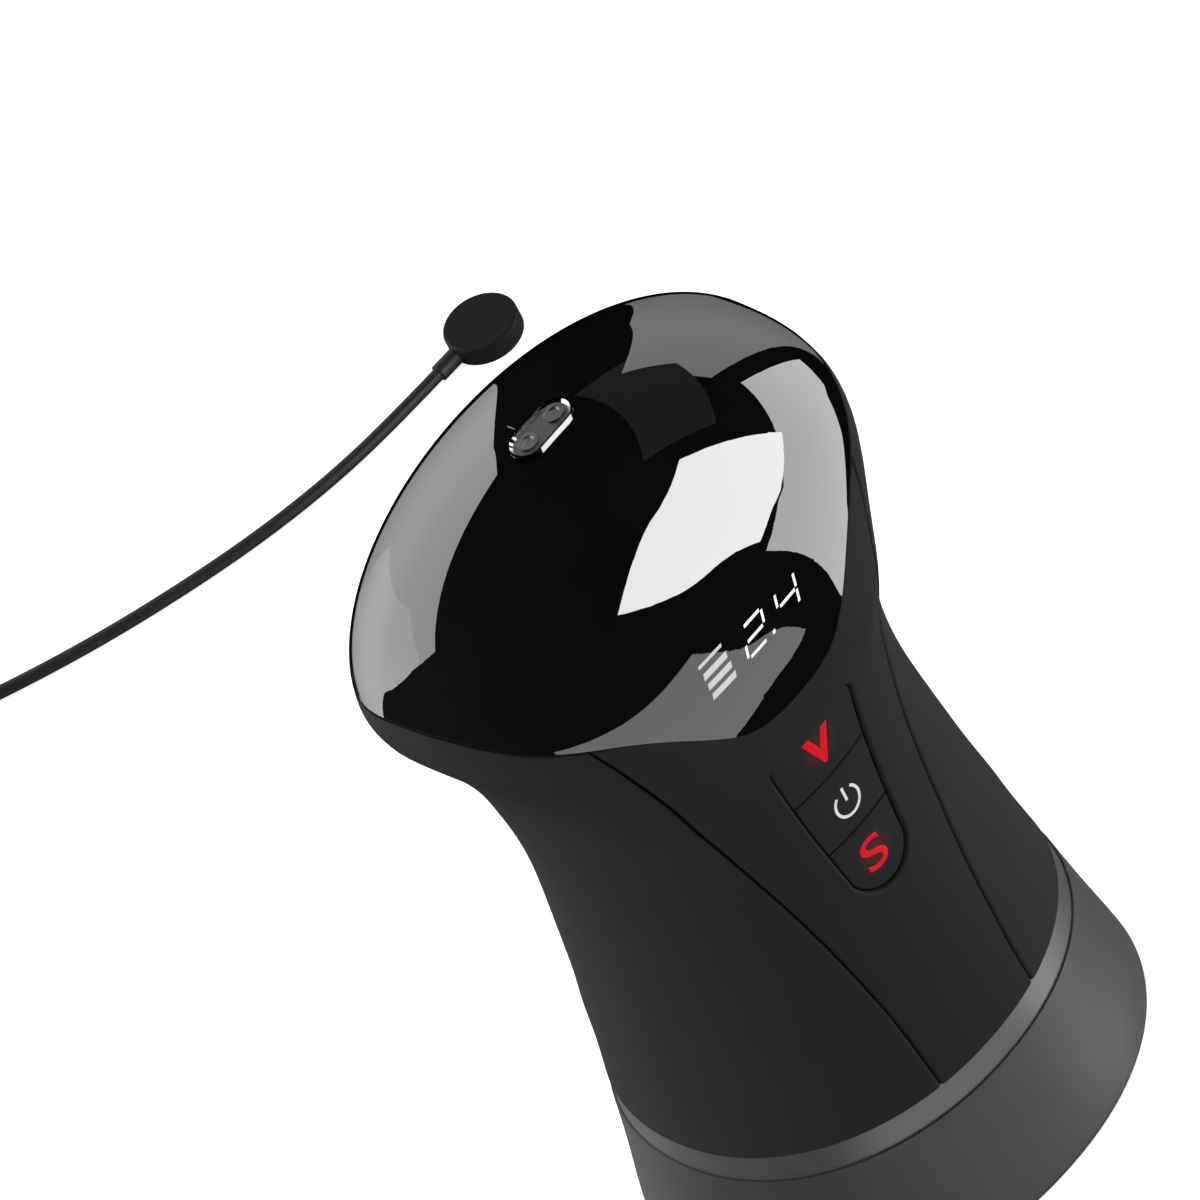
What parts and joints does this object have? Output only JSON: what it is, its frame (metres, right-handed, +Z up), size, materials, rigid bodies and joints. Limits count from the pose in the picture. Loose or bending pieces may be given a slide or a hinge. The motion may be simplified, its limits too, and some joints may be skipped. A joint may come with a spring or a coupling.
{
  "type": "cordless hand-held massager",
  "caption": "Waisted hand-held massager standing on a soft suction cup, with a glossy domed display head, front keypad, magnetic charging port and a coiled charging lead.",
  "frame": {"origin": "middle of the suction cup's rim, on the surface that the device stands on", "axes": "+Z up through the body, -Y out of the keypad, +X to the right when the keys are faced"},
  "size_m": [0.211, 0.321, 0.1901],
  "materials": {
    "soft_touch": "soft-touch coated, matte",
    "lens_gloss": "piano gloss, smoked",
    "dark_rubber": "matte elastomer",
    "black_silicone": "satin silicone",
    "satin_trim": "satin",
    "structural_plastic": "moulded, fine texture",
    "chrome": "polished",
    "plated_contact": "nickel plate",
    "magnet": "nickel-plated magnet",
    "circuit_board": "solder mask",
    "components": "moulded component bodies",
    "display_block": "black display block",
    "cell_sleeve": "shrink sleeve",
    "strap": "woven strap",
    "steel": "zinc plate",
    "copper": "enamelled copper",
    "lead_insulation": "silicone insulation",
    "cord_sheath": "matte sheath",
    "puck_plastic": "matte",
    "filter_mesh": "sintered mesh",
    "tongue_plastic": "moulded"
  },
  "bodies": {
    "body": {"base_ring": "satin_trim", "base_screws": "steel", "base_seal": "dark_rubber", "battery_cells": "cell_sleeve", "battery_leads": "lead_insulation", "board_parts": "components", "board_screws": "steel", "bulkhead": "structural_plastic", "cell_strap": "strap", "cell_tabs": "plated_contact", "charging_cord": "cord_sheath", "chassis": "structural_plastic", "cord_coil": "cord_sheath", "digit_block": "display_block", "display_board": "circuit_board", "display_bracket": "structural_plastic", "front_cover": "soft_touch", "inlet_filter": "filter_mesh", "key_board": "circuit_board", "key_switches": "components", "key_web": "dark_rubber", "lens": "lens_gloss", "lens_frame": "structural_plastic", "lens_gasket": "dark_rubber", "main_board": "circuit_board", "manifold": "structural_plastic", "port_bezel": "chrome", "port_board": "circuit_board", "port_insulator": "display_block", "port_leads": "lead_insulation", "port_magnets": "magnet", "port_pins": "plated_contact", "puck_collar": "cord_sheath", "puck_pins": "plated_contact", "puck_shell": "puck_plastic", "pump_can": "steel", "pump_clamp": "steel", "pump_diaphragm": "dark_rubber", "pump_head": "structural_plastic", "pump_hose": "dark_rubber", "pump_magnets": "magnet", "pump_valve_plate": "structural_plastic", "pump_yoke": "structural_plastic", "rear_cover": "soft_touch", "suction_cup": "black_silicone", "usb_grip": "cord_sheath", "usb_shell": "plated_contact", "usb_tongue": "tongue_plastic", "valve_body": "structural_plastic", "valve_coil": "copper", "valve_spring": "steel", "vib_can": "steel", "vib_clamp": "steel", "vib_magnets": "magnet"},
    "key_v": {"key_v": "soft_touch"},
    "key_power": {"key_power": "soft_touch"},
    "key_s": {"key_s": "soft_touch"},
    "pump_rotor": {"pump_rotor": "steel"},
    "vib_rotor": {"vib_rotor": "steel"},
    "valve_plunger": {"valve_plunger": "steel"}
  },
  "joints": [
    {"name": "key_v_press", "type": "slide", "parent": "body", "child": "key_v", "axis": [0, 1, 0], "range_m": [0, 0.0008], "stiffness_N_per_m": 1800, "springref_m": -0.0004},
    {"name": "key_power_press", "type": "slide", "parent": "body", "child": "key_power", "axis": [0, 1, 0], "range_m": [0, 0.0008], "stiffness_N_per_m": 1800, "springref_m": -0.0004},
    {"name": "key_s_press", "type": "slide", "parent": "body", "child": "key_s", "axis": [0, 1, 0], "range_m": [0, 0.0008], "stiffness_N_per_m": 1800, "springref_m": -0.0004},
    {"name": "pump_spin", "type": "hinge", "parent": "body", "child": "pump_rotor", "pos_m": [0, 0.014, 0.056], "axis": [1, 0, 0], "continuous": true},
    {"name": "vibration_spin", "type": "hinge", "parent": "body", "child": "vib_rotor", "pos_m": [0, -0.017, 0.054], "axis": [1, 0, 0], "continuous": true},
    {"name": "valve_lift", "type": "slide", "parent": "body", "child": "valve_plunger", "axis": [0, 0, 1], "range_m": [0, 0.0015], "stiffness_N_per_m": 300, "springref_m": -0.001, "deforming": ["valve_spring"]}
  ]
}
